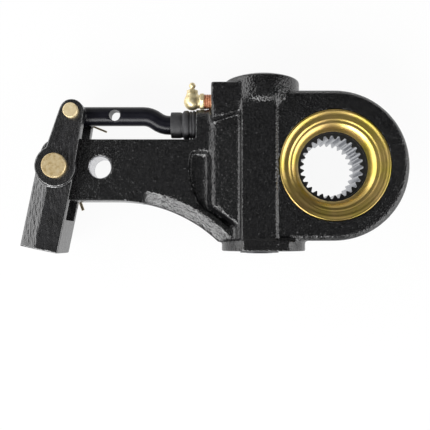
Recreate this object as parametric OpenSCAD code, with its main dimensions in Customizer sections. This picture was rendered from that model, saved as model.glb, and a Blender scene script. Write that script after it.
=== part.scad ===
/* [Head] */
// Radius of the round head
head_r = 44.3; // [42:0.1:46]
// Thickness of the head from front to rear
head_t = 38; // [37:0.5:40]
// Chamfer along the head's outer edges
head_chamfer = 2.5; // [1:0.5:3]

/* [Spline] */
// Number of spline teeth in the bore
spline_teeth = 28; // [24:2:32]
// Diameter at the roots of the spline
spline_major_d = 38.1; // [37:0.1:39]
// Diameter at the tips of the spline teeth
spline_minor_d = 33.8; // [33.4:0.1:35]

/* [Arm] */
// Distance from the bore to the outer arm hole
arm_length = 165.1; // [160:0.1:170]
// Distance between the two arm holes
hole_pitch = 25.4; // [24:0.1:26]
// Diameter of the arm holes
arm_hole_d = 12.8; // [12.6:0.1:13]
// Thickness of the arm
arm_t = 18; // [17:0.5:18.5]
// Height of the arm's upper edge above the bore
arm_top = 17; // [16:0.5:17.5]
// Depth of the arm's lower edge below the bore
arm_bottom = 20; // [19:0.5:21]

/* [Clevis] */
// Lean of the clevis shank away from square
clevis_lean = 11.8; // [10:0.2:13]
// Width of the clevis shank
clevis_w = 23; // [22:0.5:24]
// Depth of the clevis over both ears
clevis_depth = 31; // [30.5:0.5:33]
// Length of the shank below the large pin
shank_length = 50.7; // [48:0.1:53]
// Diameter of the push rod thread hole
push_rod_d = 14.5; // [14:0.1:15]

/* [Pins] */
// Diameter of the large clevis pin
large_pin_d = 12.7; // [12.5:0.1:12.7]
// Diameter of the small clevis pin
small_pin_d = 6.35; // [6:0.05:6.4]
// Height of the pin heads
pin_head_h = 3; // [2.5:0.1:3.5]

/* [Link] */
// Diameter of the link rod
rod_d = 11.6; // [11:0.1:11.8]
// Distance from the small pin to the spare cross hole
spare_hole_pitch = 23.7; // [23:0.1:25]
// Drop of the rod between its two straight runs
rod_drop = 5.4; // [5:0.1:5.8]

/* [Seal ring] */
// Outer radius of the dished ring
ring_r = 32.9; // [32.4:0.1:33.4]
// Sheet thickness of the dished ring
ring_sheet = 1.4; // [1.2:0.1:1.6]

/* [Gears] */
// Number of wheel teeth
wheel_teeth = 22; // [22:1:22]
// Tooth module of the wheel and worm
wheel_module = 2.7; // [2.66:0.01:2.72]

/* [Hidden] */
$fn = 48;
// clearances and fits
run_gap = 0.05;
free_gap = 0.4;
pass = 1;
join = 0.5;
press_gap = 0.02;
half_t = head_t / 2;
half_arm = arm_t / 2;

// worm, wheel and barrel
worm_x = -43;
wheel_pitch_r = wheel_module * wheel_teeth / 2;
worm_pitch_r = -worm_x - wheel_pitch_r;
addendum = 1.8;
dedendum = 2.6;
wheel_tip_r = wheel_pitch_r + addendum;
wheel_root_r = wheel_pitch_r - dedendum;
worm_tip_r = worm_pitch_r + addendum;
worm_root_r = worm_pitch_r - dedendum;
tooth_pitch = PI * wheel_module;
tooth_backlash = 1.1;
tooth_t = (tooth_pitch - tooth_backlash) / 2;
pressure_angle = 20;
lead_angle = atan(tooth_pitch / (2 * PI * worm_pitch_r));
wheel_front = 8.5;
wheel_back = -10.5;
wheel_rear_end = -18.4;
journal_r = 26;
wheel_gap = 0.5;
wheel_cavity_r = wheel_tip_r + wheel_gap;
worm_gap = 0.6;
worm_cavity_r = worm_tip_r + worm_gap;
worm_half = 17;
barrel_wall = 2.5;
barrel_r = worm_cavity_r + barrel_wall;
barrel_bottom = -45;
dome_x = -41.8;
dome_r = 23.1;
dome_base = 52.3;
dome_crown = 57.3;
foot_x = -40.6;
foot_r = 25.6;
foot_half_z = 22;
pad_x0 = -55.2;
pad_x1 = -34.9;
pad_z = 20.5;
pad_top = 38.2;
flank_x = -75.9;
flank_edge_z = 4.3;
flank_mid_z = 10.5;
flank_inner_z = 12.5;

// arm outline
arm_end_run = 10.6;
arm_end_x = -arm_length - arm_end_run;
arm_corner_r = 9;
sweep_r = 91;
sweep_x = -131;
bevel_w = 7.8;
bevel_h = 4.6;
pocket_depth = 4.2;
boss_y = 27;
boss_r = 9.4;
boss_x = -82;
boss_drop = 3;

// rack, pinion and clutch
pinion_teeth = 12;
pinion_module = 1;
pinion_pitch_r = pinion_teeth * pinion_module / 2;
pinion_add = 0.8;
pinion_ded = 1.05;
rack_backlash = 0.5;
pinion_h = 9;
rack_w = 8;
rack_web = 4;
channel_top_z = -4;
rack_back_z = -12.4;
rack_guide_r = 7.2;
rack_guide_x0 = -73;
rack_guide_x1 = -60;
rack_end_x = -31.5;
rack_pin_x = -68;
rack_pin_r = 2.5;
shaft_r = 3.4;
shoulder_r = 7.4;
clutch_y1 = 46;
clutch_cavity_r = 11;
hub_r = 6;

// link and small pin
link_y = boss_y + rod_drop;
link_setback = 9.8;
link_x = -arm_length + link_setback;
rod_r = rod_d / 2;
rod_bend_x0 = -114.5;
rod_bend_x1 = -98.5;
rod_bend_run = rod_bend_x1 - rod_bend_x0;
rod_bend_angle = 2 * atan(rod_drop / rod_bend_run);
rod_bend_r = rod_bend_run / (2 * sin(rod_bend_angle));
link_eye_r = 6.6;
link_eye_t = 13;
link_swing_gap = 0.68;
tang_t = 6;
tang_run = 2;

// clevis
half_clevis = clevis_depth / 2;
fork_gap = 0.6;
slot_w = arm_t + 2 * fork_gap;
slot_depth = 30;
ear_r = 7.2;
large_boss_r = 12.2;
pin_hole_r = large_pin_d / 2 + run_gap;
small_hole_r = small_pin_d / 2 + run_gap;
large_head_rim = 0.95;
small_head_rim = 1.25;
large_head_r = large_pin_d / 2 + large_head_rim;
small_head_r = small_pin_d / 2 + small_head_rim;
pin_tail = 7;
cotter_drop = 3.4;
cotter_z = -half_clevis - cotter_drop;

// seats, cavities and small sizes
sweep_y0 = -arm_bottom - sweep_r;
rim_w = 10.5;
fillet_r = 2.6;
bevel_start = 10.9;
bevel_end = 52;
pocket_cx = -48;
pocket_cy = -0.5;
pocket_r = 38;
pocket_top = 9.3;
flank_mid_x = -71.7;
flank_lean = 23;
groove_w = 1.5;
lower_face = -50.5;
block_x = -72.7;
block_top = 49;
block_low = 32;
rear_block_y = 18;
rear_seal_w = 3;
seal_seat_r = journal_r + rear_seal_w;
seal_seat_depth = 3.6;
seal_inset = 0.2;
lip_gap = 0.35;
worm_cavity_top = 19.5;
boot_seat_depth = 3;
boot_lip_r = 8.2;
channel_x0 = -70.6;
channel_x1 = -25;
port_y = 41.5;
port_r = 4;
port_depth = 9;
grease_hole_r = 1.5;
snap_groove = 1.2;
snap_y0 = -49;
snap_t = 1.4;
snap_mouth = 5;
hole_chamfer = 0.8;
wheel_twist_rate = tan(lead_angle) / wheel_pitch_r * 180 / PI;
wheel_face = wheel_front - wheel_back;
retainer_t = 2.4;
retainer_z0 = wheel_front + free_gap;
retainer_z1 = retainer_z0 + retainer_t;
neck_in_r = 20.15;
neck_wall = 1.55;
neck_out_r = neck_in_r + neck_wall;
front_seal_w = 1.7;
lip_seat_r = neck_out_r + front_seal_w;
ring_inner_r = 20.8;
ring_lip = 0.4;
ring_rim_w = 0.7;
ring_ridge_r = 27.3;
ring_ridge_z = 18;
ring_dish = 0.5;
ring_roll_h = 5;
ring_corner = 1;
collar_r = 11.5;
collar_y = -27.2;
journal_low_r = 9;
hex_y0 = -42;
hex_r = 8;
hex_end = -51.9;
washer_t = 1.7;
cap_top = collar_y - washer_t - 2 * free_gap;
shoulder_y = 17.4;
shaft_end = 49.5;
cap_low = snap_y0 + snap_t + 2 * run_gap;
cap_neck_r = 11.8;
cap_end = -51.5;
seal_y = -40;
seal_r = 0.9;
seal_groove_r = worm_cavity_r - 2 * (seal_r + run_gap);
sleeve_r = 6.7;
sleeve_end = 38;
hub_y0 = sleeve_end + free_gap;
hub_y1 = 45.4;
spring_step = 25;
spring_pitch = 2.4;
spring_turn_count = 4.5;
spring_slices = 50;
slice_turn = 360 * spring_turn_count / spring_slices;
spring_in_r = (sleeve_r + run_gap) / cos(spring_step / 2) / cos(slice_turn / 2);
spring_wire = 1.6;
spring_out_r = spring_in_r + spring_wire;
spring_y0 = 32.4;
pinion_tooth_t = (PI * pinion_module - rack_backlash) / 2;
rack_root_z = -pinion_pitch_r - pinion_ded;
rack_tip_z = -pinion_pitch_r + pinion_add;
rack_tooth_count = 8;
rack_root_sink = 0.2;
slot_gap = 0.35;
tang_r = 4.4;
rack_pin_half = 6.2;
rod_bend_steps = 4;
rod_end_x = -80.5;
spare_hole_r = 3.4;
boot_x0 = -97.4;
boot_in_r = 7;
boot_cuff_r = 7.9;
boot_cuff_end = -90.8;
boot_neck_r = 7.5;
boot_neck_l = 0.8;
boot_flange_r = 8.9;
boot_edge = 0.4;
boot_clamp_x = -85.8;
boot_clamp_w = 1.2;
boot_clamp_t = 0.8;
boot_x = boss_x;
boot_groove_r = 7.6;
elbow_x = -84.4;
flange_x0 = -79.6;
elbow_r = 4.5;
elbow_drop = 4.2;
elbow_edge = 1.6;
elbow_neck_r = 3.8;
flange_t = 2.6;
flange_r = 5.4;
elbow_neck_l = 0.9;
elbow_top = port_y + elbow_drop + elbow_neck_l;
nipple_thread_r = 2.4;
nipple_thread_l = 3;
nipple_hex_r = 3.4;
nipple_hex_t = 2;
nipple_neck_r = 1.4;
nipple_ball_r = 2.1;
nipple_tip_r = 1.2;
nipple_neck_y = elbow_top + 3.2;
nipple_ball_y = elbow_top + 4.6;
nipple_top = elbow_top + 6.6;
pin_dx = link_x + arm_length;
small_u = pin_dx * cos(clevis_lean) - link_y * sin(clevis_lean);
small_v = pin_dx * sin(clevis_lean) + link_y * cos(clevis_lean);
ear_foot = 8.7;
ear_rise = 0.9;
ridge_u = -1.5;
left_drop = 2.4;
shank_step = 0.8;
right_drop = 1;
head_gap = 0.05;
large_cotter_r = 1;
small_cotter_r = 0.65;
cotter_gap = 0.15;
cotter_eye = 2.2;
cotter_wire = 0.6;
large_cotter_angle = -70;
small_cotter_angle = -22;
large_cotter_tail = 26;
small_cotter_tail = 15.6;
rod_path = concat(
    [[link_x, link_y]],
    [for (k = [0 : rod_bend_steps]) [rod_bend_x0, link_y - rod_bend_r]
        + polar(rod_bend_r, 90 - rod_bend_angle * k / rod_bend_steps)],
    [for (k = [rod_bend_steps - 1 : -1 : 0]) [rod_bend_x1, boss_y + rod_bend_r]
        + polar(rod_bend_r, 270 - rod_bend_angle * k / rod_bend_steps)],
    [[rod_end_x, boss_y]]);

// cylinder along Y between two heights
module along_y(x, y0, y1, r, z = 0) {
    translate([x, y0, z]) rotate([-90, 0, 0]) cylinder(r = r, h = y1 - y0);
}

// cylinder along X between two stations
module along_x(x0, x1, y, r, z = 0) {
    translate([x0, y, z]) rotate([0, 90, 0]) cylinder(r = r, h = x1 - x0);
}

// flat shape given thickness, centred on the mid plane
module slab(t) {
    translate([0, 0, -t / 2]) linear_extrude(t) children();
}

// profile in X and Z swept along Y
module sweep_y(y0, y1) {
    translate([0, y1, 0]) rotate([90, 0, 0]) linear_extrude(y1 - y0) children();
}

// profile of radius against Y turned about the worm axis
module turned_y(x = worm_x) {
    translate([x, 0, 0]) rotate([-90, 0, 0]) rotate_extrude() children();
}

// profile of radius against X turned about the rack axis
module turned_x() {
    translate([0, boss_y, 0]) rotate([0, 90, 0]) rotate_extrude() children();
}

// flat ring about the camshaft axis
module z_ring(r_in, r_out, z0, z1) {
    translate([0, 0, z0]) linear_extrude(z1 - z0) difference() {
        circle(r_out);
        circle(r_in);
    }
}

// ring about the worm axis
module y_ring(r_in, r_out, y0, y1) {
    translate([worm_x, y0, 0]) rotate([-90, 0, 0]) linear_extrude(y1 - y0) difference() {
        circle(r_out);
        circle(r_in);
    }
}

// involute tooth form
function involute(a) = tan(a) * 180 / PI - a;
function flank_angle(r, rp, t) =
    let (rb = rp * cos(pressure_angle))
    t / (2 * rp) * 180 / PI + involute(pressure_angle) - involute(r > rb ? acos(rb / r) : 0);
function polar(r, a) = [r * cos(a), r * sin(a)];
function gear_points(n, rp, r_root, r_tip, t, steps = 4) =
    let (r0 = max(r_root, rp * cos(pressure_angle)))
    [for (i = [0 : n - 1])
        let (mid = i * 360 / n)
        each concat(
            [polar(r_root, mid - flank_angle(r0, rp, t))],
            [for (r = [for (k = [0 : steps]) r0 + (r_tip - r0) * k / steps])
                polar(r, mid - flank_angle(r, rp, t))],
            [for (r = [for (k = [steps : -1 : 0]) r0 + (r_tip - r0) * k / steps])
                polar(r, mid + flank_angle(r, rp, t))],
            [polar(r_root, mid + flank_angle(r0, rp, t))])];

module head_shape() {
    circle(head_r, $fn = 96);
    translate([worm_x, -head_r]) square([-worm_x, 2 * head_r]);
}

module edge_profile() {
    polygon([[head_r - head_chamfer - pass, half_t + pass], [head_r + pass, half_t + pass],
             [head_r + pass, half_t - head_chamfer - pass]]);
}

module head_edges() {
    for (side = [0, 1]) mirror([0, 0, side]) {
        rotate([0, 0, -90]) rotate_extrude(angle = 180, $fn = 96) edge_profile();
        for (up = [0, 1]) mirror([0, up, 0])
            translate([pad_x1, 0, 0]) rotate([90, 0, 90]) linear_extrude(-pad_x1) edge_profile();
    }
}

module arm_shape() {
    end_x = arm_end_x + arm_corner_r;
    difference() {
        polygon([[end_x, arm_top], [worm_x, arm_top], [worm_x, barrel_bottom], [sweep_x, barrel_bottom],
                 [sweep_x, -arm_bottom], [end_x, -arm_bottom]]);
        translate([sweep_x, sweep_y0]) circle(sweep_r, $fn = 180);
    }
    for (y = [arm_top - arm_corner_r, arm_corner_r - arm_bottom]) translate([end_x, y]) circle(arm_corner_r);
    translate([arm_end_x, arm_corner_r - arm_bottom])
        square([2 * arm_corner_r, arm_top + arm_bottom - 2 * arm_corner_r]);
    translate([boss_x, 0]) square([worm_x - boss_x, boss_y - boss_drop]);
    difference() {
        translate([boss_x - fillet_r, 0]) square([fillet_r, arm_top + fillet_r]);
        translate([boss_x - fillet_r, arm_top + fillet_r]) circle(fillet_r);
    }
}

// sloped lower flank of the arm on one face
module bevel_profile() {
    slope = bevel_h / bevel_w;
    polygon([[-pass, half_arm - bevel_h - pass * slope], [bevel_w + pass / slope, half_arm + pass],
             [-pass, half_arm + pass]]);
}

module arm_bevel() {
    translate([sweep_x, sweep_y0, 0]) rotate([0, 0, 90 - bevel_end])
        rotate_extrude(angle = bevel_end - bevel_start, $fn = 180) translate([sweep_r, 0]) bevel_profile();
}

module pocket_shape() {
    difference() {
        intersection() {
            translate([pocket_cx, pocket_cy]) circle(pocket_r, $fn = 96);
            translate([pocket_cx - pocket_r, pocket_cy - pocket_r])
                square([worm_x - pocket_cx + pocket_r, pocket_top - pocket_cy + pocket_r]);
        }
        translate([sweep_x, sweep_y0]) circle(sweep_r + rim_w, $fn = 180);
    }
}

module arm_plate() {
    difference() {
        slab(arm_t) arm_shape();
        for (side = [0, 1]) mirror([0, 0, side]) {
            arm_bevel();
            translate([0, 0, half_arm - pocket_depth]) linear_extrude(pocket_depth + pass) pocket_shape();
        }
    }
}

// curved side of the worm barrel that falls to the arm
module barrel_flank() {
    edge_r = sweep_r + rim_w + groove_w;
    rise = flank_inner_z - flank_edge_z + pass;
    difference() {
        sweep_y(barrel_bottom + join, block_low + join)
            polygon([[flank_x, -flank_edge_z], [flank_x, flank_edge_z], [flank_mid_x, flank_mid_z],
                     [pad_x0, flank_inner_z], [worm_x, flank_inner_z], [worm_x, -flank_inner_z],
                     [pad_x0, -flank_inner_z], [flank_mid_x, -flank_mid_z]]);
        translate([sweep_x, sweep_y0, -half_t]) cylinder(r = edge_r, h = head_t, $fn = 180);
        for (side = [0, 1]) mirror([0, 0, side]) translate([sweep_x, sweep_y0, flank_edge_z])
            cylinder(r1 = edge_r, r2 = edge_r + rise * tan(flank_lean), h = rise, $fn = 180);
    }
}

module barrel() {
    along_y(worm_x, barrel_bottom, dome_base, barrel_r);
    sweep_y(barrel_bottom, pad_top) polygon([[pad_x0, -pad_z], [pad_x0, pad_z], [pad_x1, pad_z],
        [pad_x1 + pad_z - half_t, half_t], [pad_x1 + pad_z - half_t, -half_t], [pad_x1, -pad_z]]);
    intersection() {
        along_y(foot_x, lower_face, barrel_bottom + pass, foot_r);
        slab(2 * foot_half_z) translate([foot_x - foot_r, lower_face]) square(2 * foot_r);
    }
}

module barrel_dome() {
    cap_h = dome_crown - dome_base;
    ball_r = (dome_r * dome_r + cap_h * cap_h) / (2 * cap_h);
    intersection() {
        translate([dome_x, dome_crown - ball_r, 0]) sphere(ball_r, $fn = 96);
        along_y(dome_x, pad_top, dome_crown + pass, dome_r);
    }
}

// upper block that carries the rack channel and the grease port
module rack_block() {
    linear_extrude(half_t)
        polygon([[block_x, block_top], [dome_x, block_top], [dome_x, block_low],
                 [pad_x0, block_low], [block_x, boss_y]]);
    translate([block_x, rear_block_y, -half_t]) cube([dome_x - block_x, block_top - rear_block_y, half_t]);
    along_x(boss_x, worm_x, boss_y, boss_r);
}

module housing_cavities() {
    translate([0, 0, wheel_back - free_gap]) cylinder(r = wheel_cavity_r, h = head_t);
    translate([0, 0, retainer_z1]) cylinder(r = ring_r, h = head_t);
    translate([0, 0, -half_t - pass]) cylinder(r = journal_r + run_gap, h = head_t);
    translate([0, 0, -half_t - pass]) cylinder(r = seal_seat_r, h = pass + seal_seat_depth);
    along_y(worm_x, lower_face - pass, worm_cavity_top, worm_cavity_r);
    along_y(worm_x, worm_cavity_top - pass, clutch_y1, clutch_cavity_r);
    along_y(worm_x, clutch_y1 - pass, shaft_end + free_gap, shaft_r + run_gap);
    along_x(boss_x - pass, worm_x - clutch_cavity_r, boss_y, rack_guide_r + run_gap);
    along_x(boss_x - pass, boss_x + boot_seat_depth, boss_y, boot_lip_r + run_gap);
    translate([channel_x0, boss_y - rack_w / 2 - free_gap, rack_back_z - free_gap])
        cube([channel_x1 - channel_x0, rack_w + 2 * free_gap, -rack_back_z + free_gap + channel_top_z]);
    along_x(block_x - pass, block_x + port_depth, port_y, port_r + run_gap);
    along_x(block_x, worm_x, port_y, grease_hole_r);
    y_ring(worm_cavity_r - pass, worm_cavity_r + snap_groove, snap_y0, snap_y0 + snap_t + 2 * run_gap);
    for (x = [-arm_length, -arm_length + hole_pitch]) translate([x, 0, -half_t])
        cylinder(r = arm_hole_d / 2, h = head_t);
    for (side = [0, 1]) mirror([0, 0, side])
        translate([-arm_length + hole_pitch, 0, half_arm - hole_chamfer])
            cylinder(r1 = arm_hole_d / 2, r2 = arm_hole_d / 2 + hole_chamfer + pass, h = hole_chamfer + pass);
}

module housing() {
    color([0.09, 0.09, 0.1]) difference() {
        union() {
            difference() {
                slab(head_t) head_shape();
                head_edges();
            }
            arm_plate();
            barrel_flank();
            barrel();
            barrel_dome();
            rack_block();
        }
        housing_cavities();
    }
}

module spline_void() {
    root_w = 0.25 * 2 * PI * spline_major_d / 2 / spline_teeth;
    tip_w = 0.3 * 2 * PI * spline_minor_d / 2 / spline_teeth;
    circle(spline_minor_d / 2, $fn = 96);
    intersection() {
        circle(spline_major_d / 2, $fn = 96);
        for (i = [0 : spline_teeth - 1]) rotate(i * 360 / spline_teeth)
            polygon([[spline_minor_d / 2 - pass, -tip_w], [spline_major_d / 2 + pass, -root_w],
                     [spline_major_d / 2 + pass, root_w], [spline_minor_d / 2 - pass, tip_w]]);
    }
}

module worm_wheel() {
    color([0.55, 0.56, 0.58]) difference() {
        union() {
            translate([0, 0, wheel_back]) rotate(wheel_back * wheel_twist_rate)
                linear_extrude(wheel_face, twist = -wheel_face * wheel_twist_rate, slices = 4)
                    polygon(gear_points(wheel_teeth, wheel_pitch_r, wheel_root_r, wheel_tip_r, tooth_t));
            translate([0, 0, wheel_rear_end]) cylinder(r = journal_r, h = wheel_back - wheel_rear_end + pass);
            translate([0, 0, wheel_front - pass])
                cylinder(r = neck_out_r, h = retainer_z1 - wheel_front + pass);
        }
        translate([0, 0, wheel_front]) cylinder(r = neck_in_r, h = head_t);
        translate([0, 0, wheel_rear_end - pass]) linear_extrude(wheel_front - wheel_rear_end + 2 * pass)
            spline_void();
    }
}

// quarter roll of the dished ring, from its ridge to its inner edge
function roll_points(w, h) =
    [for (a = [90 : 15 : 180]) [ring_ridge_r + w * cos(a), ring_ridge_z - ring_roll_h + h * sin(a)]];

module front_seal_ring() {
    rim_z = half_t + ring_lip;
    wall_r = ring_r - run_gap;
    dish_z = half_t - ring_dish;
    foot_z = retainer_z1 + free_gap;
    roll_w = ring_ridge_r - ring_inner_r;
    color([0.83, 0.66, 0.25]) rotate_extrude($fn = 96) difference() {
        polygon(concat(
            [[wall_r, foot_z], [wall_r, half_t - ring_corner], [ring_r - ring_rim_w, rim_z],
             [ring_r - 2 * ring_rim_w, rim_z], [ring_ridge_r + ring_rim_w, dish_z]],
            roll_points(roll_w, ring_roll_h),
            [[ring_inner_r, foot_z]]));
        polygon(concat(
            [[ring_r - ring_sheet, retainer_z1], [ring_r - ring_sheet, dish_z - ring_sheet],
             [ring_ridge_r + ring_rim_w, dish_z - ring_sheet - ring_lip]],
            roll_points(roll_w - ring_sheet, ring_roll_h - ring_sheet),
            [[ring_inner_r + ring_sheet, retainer_z1]]));
    }
}

// plate with a relief for the worm
module wheel_retainer() {
    color([0.5, 0.5, 0.52]) difference() {
        z_ring(lip_seat_r + run_gap, wheel_cavity_r - run_gap, retainer_z0, retainer_z1);
        along_y(worm_x, -head_r, head_r, worm_cavity_r);
    }
}

module front_lip_seal() {
    color([0.08, 0.08, 0.08]) z_ring(neck_out_r + free_gap, lip_seat_r, retainer_z0, retainer_z1);
}

module rear_lip_seal() {
    color([0.08, 0.08, 0.08])
        z_ring(journal_r + lip_gap, seal_seat_r - run_gap, seal_inset - half_t,
               seal_seat_depth - half_t - run_gap);
}

function worm_radius(a) =
    let (d = tooth_pitch * abs(a) / 360)
    min(worm_tip_r, max(worm_root_r, worm_pitch_r - (d - tooth_t / 2) / tan(pressure_angle)));

module worm_shaft() {
    color([0.45, 0.46, 0.48]) {
        translate([worm_x, -worm_half, 0]) rotate([-90, 0, 0])
            linear_extrude(2 * worm_half, twist = -720 * worm_half / tooth_pitch, slices = 56)
                rotate(180 - 360 * worm_half / tooth_pitch)
                    polygon([for (a = [-180 : 15 : 165]) polar(worm_radius(a), a)]);
        along_y(worm_x, collar_y, join - worm_half, collar_r);
        along_y(worm_x, hex_y0, collar_y + pass, journal_low_r);
        translate([worm_x, hex_end, 0]) rotate([-90, 0, 0])
            cylinder(r = hex_r, h = hex_y0 - hex_end + pass, $fn = 6);
        along_y(worm_x, worm_half - join, shoulder_y, shoulder_r);
        along_y(worm_x, worm_half, shaft_end, shaft_r);
    }
}

module lower_thrust_washer() {
    color([0.72, 0.55, 0.3])
        y_ring(journal_low_r + free_gap, worm_cavity_r - free_gap, cap_top + free_gap, collar_y - free_gap);
}

module upper_thrust_washer() {
    color([0.72, 0.55, 0.3])
        y_ring(shaft_r + free_gap, worm_cavity_r - free_gap, shoulder_y + free_gap, worm_cavity_top - free_gap);
}

module bottom_cap() {
    color([0.2, 0.2, 0.21]) turned_y() polygon([
        [journal_low_r + run_gap, cap_end], [cap_neck_r, cap_end], [cap_neck_r, cap_low],
        [worm_cavity_r - run_gap, cap_low], [worm_cavity_r - run_gap, seal_y - seal_r - free_gap],
        [seal_groove_r, seal_y - seal_r - free_gap],
        [seal_groove_r, seal_y + seal_r + free_gap],
        [worm_cavity_r - run_gap, seal_y + seal_r + free_gap],
        [worm_cavity_r - run_gap, cap_top], [journal_low_r + run_gap, cap_top]]);
}

module cap_seal() {
    color([0.08, 0.08, 0.08]) turned_y() translate([worm_cavity_r - seal_r - run_gap, seal_y])
        circle(seal_r, $fn = 16);
}

module cap_snap_ring() {
    color([0.3, 0.3, 0.31]) difference() {
        y_ring(cap_neck_r + free_gap, worm_cavity_r + snap_groove - free_gap, snap_y0 + run_gap,
               snap_y0 + run_gap + snap_t);
        translate([worm_x - snap_mouth / 2, snap_y0 - pass, 0])
            cube([snap_mouth, snap_t + 2 * pass, 2 * barrel_r]);
    }
}

module clutch_pinion() {
    color([0.5, 0.5, 0.52]) difference() {
        union() {
            translate([worm_x, boss_y - pinion_h / 2, 0]) rotate([-90, 0, 0])
                linear_extrude(pinion_h) rotate(180 / pinion_teeth)
                    polygon(gear_points(pinion_teeth, pinion_pitch_r, pinion_pitch_r - pinion_ded,
                                        pinion_pitch_r + pinion_add, pinion_tooth_t, 3));
            along_y(worm_x, boss_y + pinion_h / 2 - join, sleeve_end, sleeve_r);
        }
        along_y(worm_x, 0, shaft_end, shaft_r + run_gap);
    }
}

module clutch_spring() {
    coil = 10 * spring_step;
    color([0.4, 0.4, 0.42]) translate([worm_x, spring_y0, 0]) rotate([-90, 0, 0])
        linear_extrude(spring_pitch * spring_turn_count, twist = -360 * spring_turn_count,
                       slices = spring_slices)
            polygon(concat([for (a = [0 : spring_step : coil]) polar(spring_in_r, a)],
                           [for (a = [coil : -spring_step : 0]) polar(spring_out_r, a)]));
}

module clutch_hub() {
    color([0.5, 0.5, 0.52]) y_ring(shaft_r + press_gap, hub_r, hub_y0, hub_y1);
}

module rack_teeth() {
    lean = tan(pressure_angle);
    for (i = [-rack_tooth_count / 2 : rack_tooth_count / 2 - 1])
        translate([worm_x + i * PI * pinion_module, 0])
        polygon([[-pinion_tooth_t / 2 - pinion_ded * lean, rack_root_z - rack_root_sink],
                 [-pinion_tooth_t / 2 + pinion_add * lean, rack_tip_z],
                 [pinion_tooth_t / 2 - pinion_add * lean, rack_tip_z],
                 [pinion_tooth_t / 2 + pinion_ded * lean, rack_root_z - rack_root_sink]]);
}

module rack() {
    color([0.5, 0.5, 0.52]) difference() {
        union() {
            sweep_y(boss_y - rack_w / 2, boss_y + rack_w / 2) {
                rack_teeth();
                translate([rack_guide_x1 - rack_web, rack_back_z])
                    square([rack_end_x - rack_guide_x1 + rack_web, rack_root_z - rack_back_z]);
                translate([rack_guide_x1 - rack_web, rack_back_z]) square([rack_web, -rack_back_z]);
            }
            along_x(rack_guide_x0, rack_guide_x1, boss_y, rack_guide_r);
        }
        translate([rack_guide_x0 - pass, boss_y - barrel_r, -tang_t / 2 - slot_gap])
            cube([rack_pin_x - rack_guide_x0 + pass + tang_r + pass, 2 * barrel_r, tang_t + 2 * slot_gap]);
        translate([rack_pin_x, boss_y, -barrel_r]) cylinder(r = rack_pin_r + press_gap, h = 2 * barrel_r);
    }
}

module rack_pin() {
    color([0.55, 0.56, 0.58]) translate([rack_pin_x, boss_y, -rack_pin_half])
        cylinder(r = rack_pin_r, h = 2 * rack_pin_half);
}

// round bar along a path of points, with mitred corners
module mitred_rod(path, r) {
    last = len(path) - 2;
    turn = [for (i = [0 : last]) atan2(path[i + 1].y - path[i].y, path[i + 1].x - path[i].x)];
    for (i = [0 : last]) difference() {
        translate(path[i]) rotate(turn[i]) translate([-2 * r, 0, 0]) rotate([0, 90, 0])
            cylinder(r = r, h = norm(path[i + 1] - path[i]) + 4 * r);
        translate(path[i]) rotate((turn[max(i - 1, 0)] + turn[i]) / 2)
            translate([-8 * r, -4 * r, -4 * r]) cube(8 * r);
        translate(path[i + 1]) rotate((turn[min(i + 1, last)] + turn[i]) / 2)
            translate([0, -4 * r, -4 * r]) cube(8 * r);
    }
}

module link_rod() {
    color([0.05, 0.05, 0.06]) difference() {
        union() {
            translate([link_x, link_y, -link_eye_t / 2]) cylinder(r = link_eye_r, h = link_eye_t);
            mitred_rod(rod_path, rod_r);
            slab(tang_t) {
                translate([rack_pin_x, boss_y]) circle(tang_r);
                translate([rod_end_x - tang_run, boss_y - tang_r])
                    square([rack_pin_x - rod_end_x + tang_run, 2 * tang_r]);
            }
        }
        translate([link_x, link_y, -barrel_r])
            cylinder(r = small_pin_d / 2 + link_swing_gap, h = 2 * barrel_r);
        translate([link_x + spare_hole_pitch, link_y, -barrel_r]) cylinder(r = spare_hole_r, h = 2 * barrel_r);
        translate([rack_pin_x, boss_y, -barrel_r]) cylinder(r = rack_pin_r + run_gap, h = 2 * barrel_r);
    }
}

module boot() {
    groove_x0 = boot_clamp_x - boot_edge / 2;
    groove_x1 = boot_clamp_x + boot_clamp_w + boot_edge / 2;
    neck_x1 = boot_cuff_end + boot_neck_l;
    lip_x = boot_x + boot_seat_depth - run_gap;
    color([0.06, 0.06, 0.06]) turned_x() polygon([
        [boot_in_r, boot_x0], [boot_cuff_r - boot_edge, boot_x0], [boot_cuff_r, boot_x0 + boot_edge],
        [boot_cuff_r, boot_cuff_end - boot_edge], [boot_neck_r, boot_cuff_end], [boot_neck_r, neck_x1],
        [boot_flange_r - boot_edge, neck_x1 + boot_edge], [boot_flange_r, neck_x1 + 2 * boot_edge],
        [boot_flange_r, groove_x0 - boot_edge], [boot_groove_r, groove_x0], [boot_groove_r, groove_x1],
        [boot_flange_r, groove_x1 + boot_edge], [boot_flange_r, boot_x - 2 * boot_edge],
        [boot_lip_r, boot_x - boot_edge], [boot_lip_r, lip_x], [boot_in_r, lip_x]]);
}

module boot_clamp() {
    color([0.3, 0.3, 0.31]) turned_x() translate([boot_groove_r + run_gap, boot_clamp_x])
        square([boot_clamp_t, boot_clamp_w]);
}

module grease_elbow() {
    shank_end = block_x + port_depth - join;
    color([0.8, 0.68, 0.35]) difference() {
        union() {
            along_x(elbow_x, shank_end, port_y, port_r);
            translate([flange_x0, port_y, 0]) rotate([0, 90, 0]) cylinder(r = flange_r, h = flange_t, $fn = 6);
            turned_y(elbow_x) polygon([
                [0, port_y - elbow_drop], [elbow_r - elbow_edge, port_y - elbow_drop],
                [elbow_r, port_y - elbow_drop + elbow_edge], [elbow_r, port_y + elbow_drop - elbow_edge],
                [elbow_neck_r, port_y + elbow_drop], [elbow_neck_r, elbow_top], [0, elbow_top]]);
        }
        along_y(elbow_x, port_y, elbow_top + pass, nipple_thread_r + run_gap);
        along_x(elbow_x, shank_end + pass, port_y, grease_hole_r);
    }
}

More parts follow.
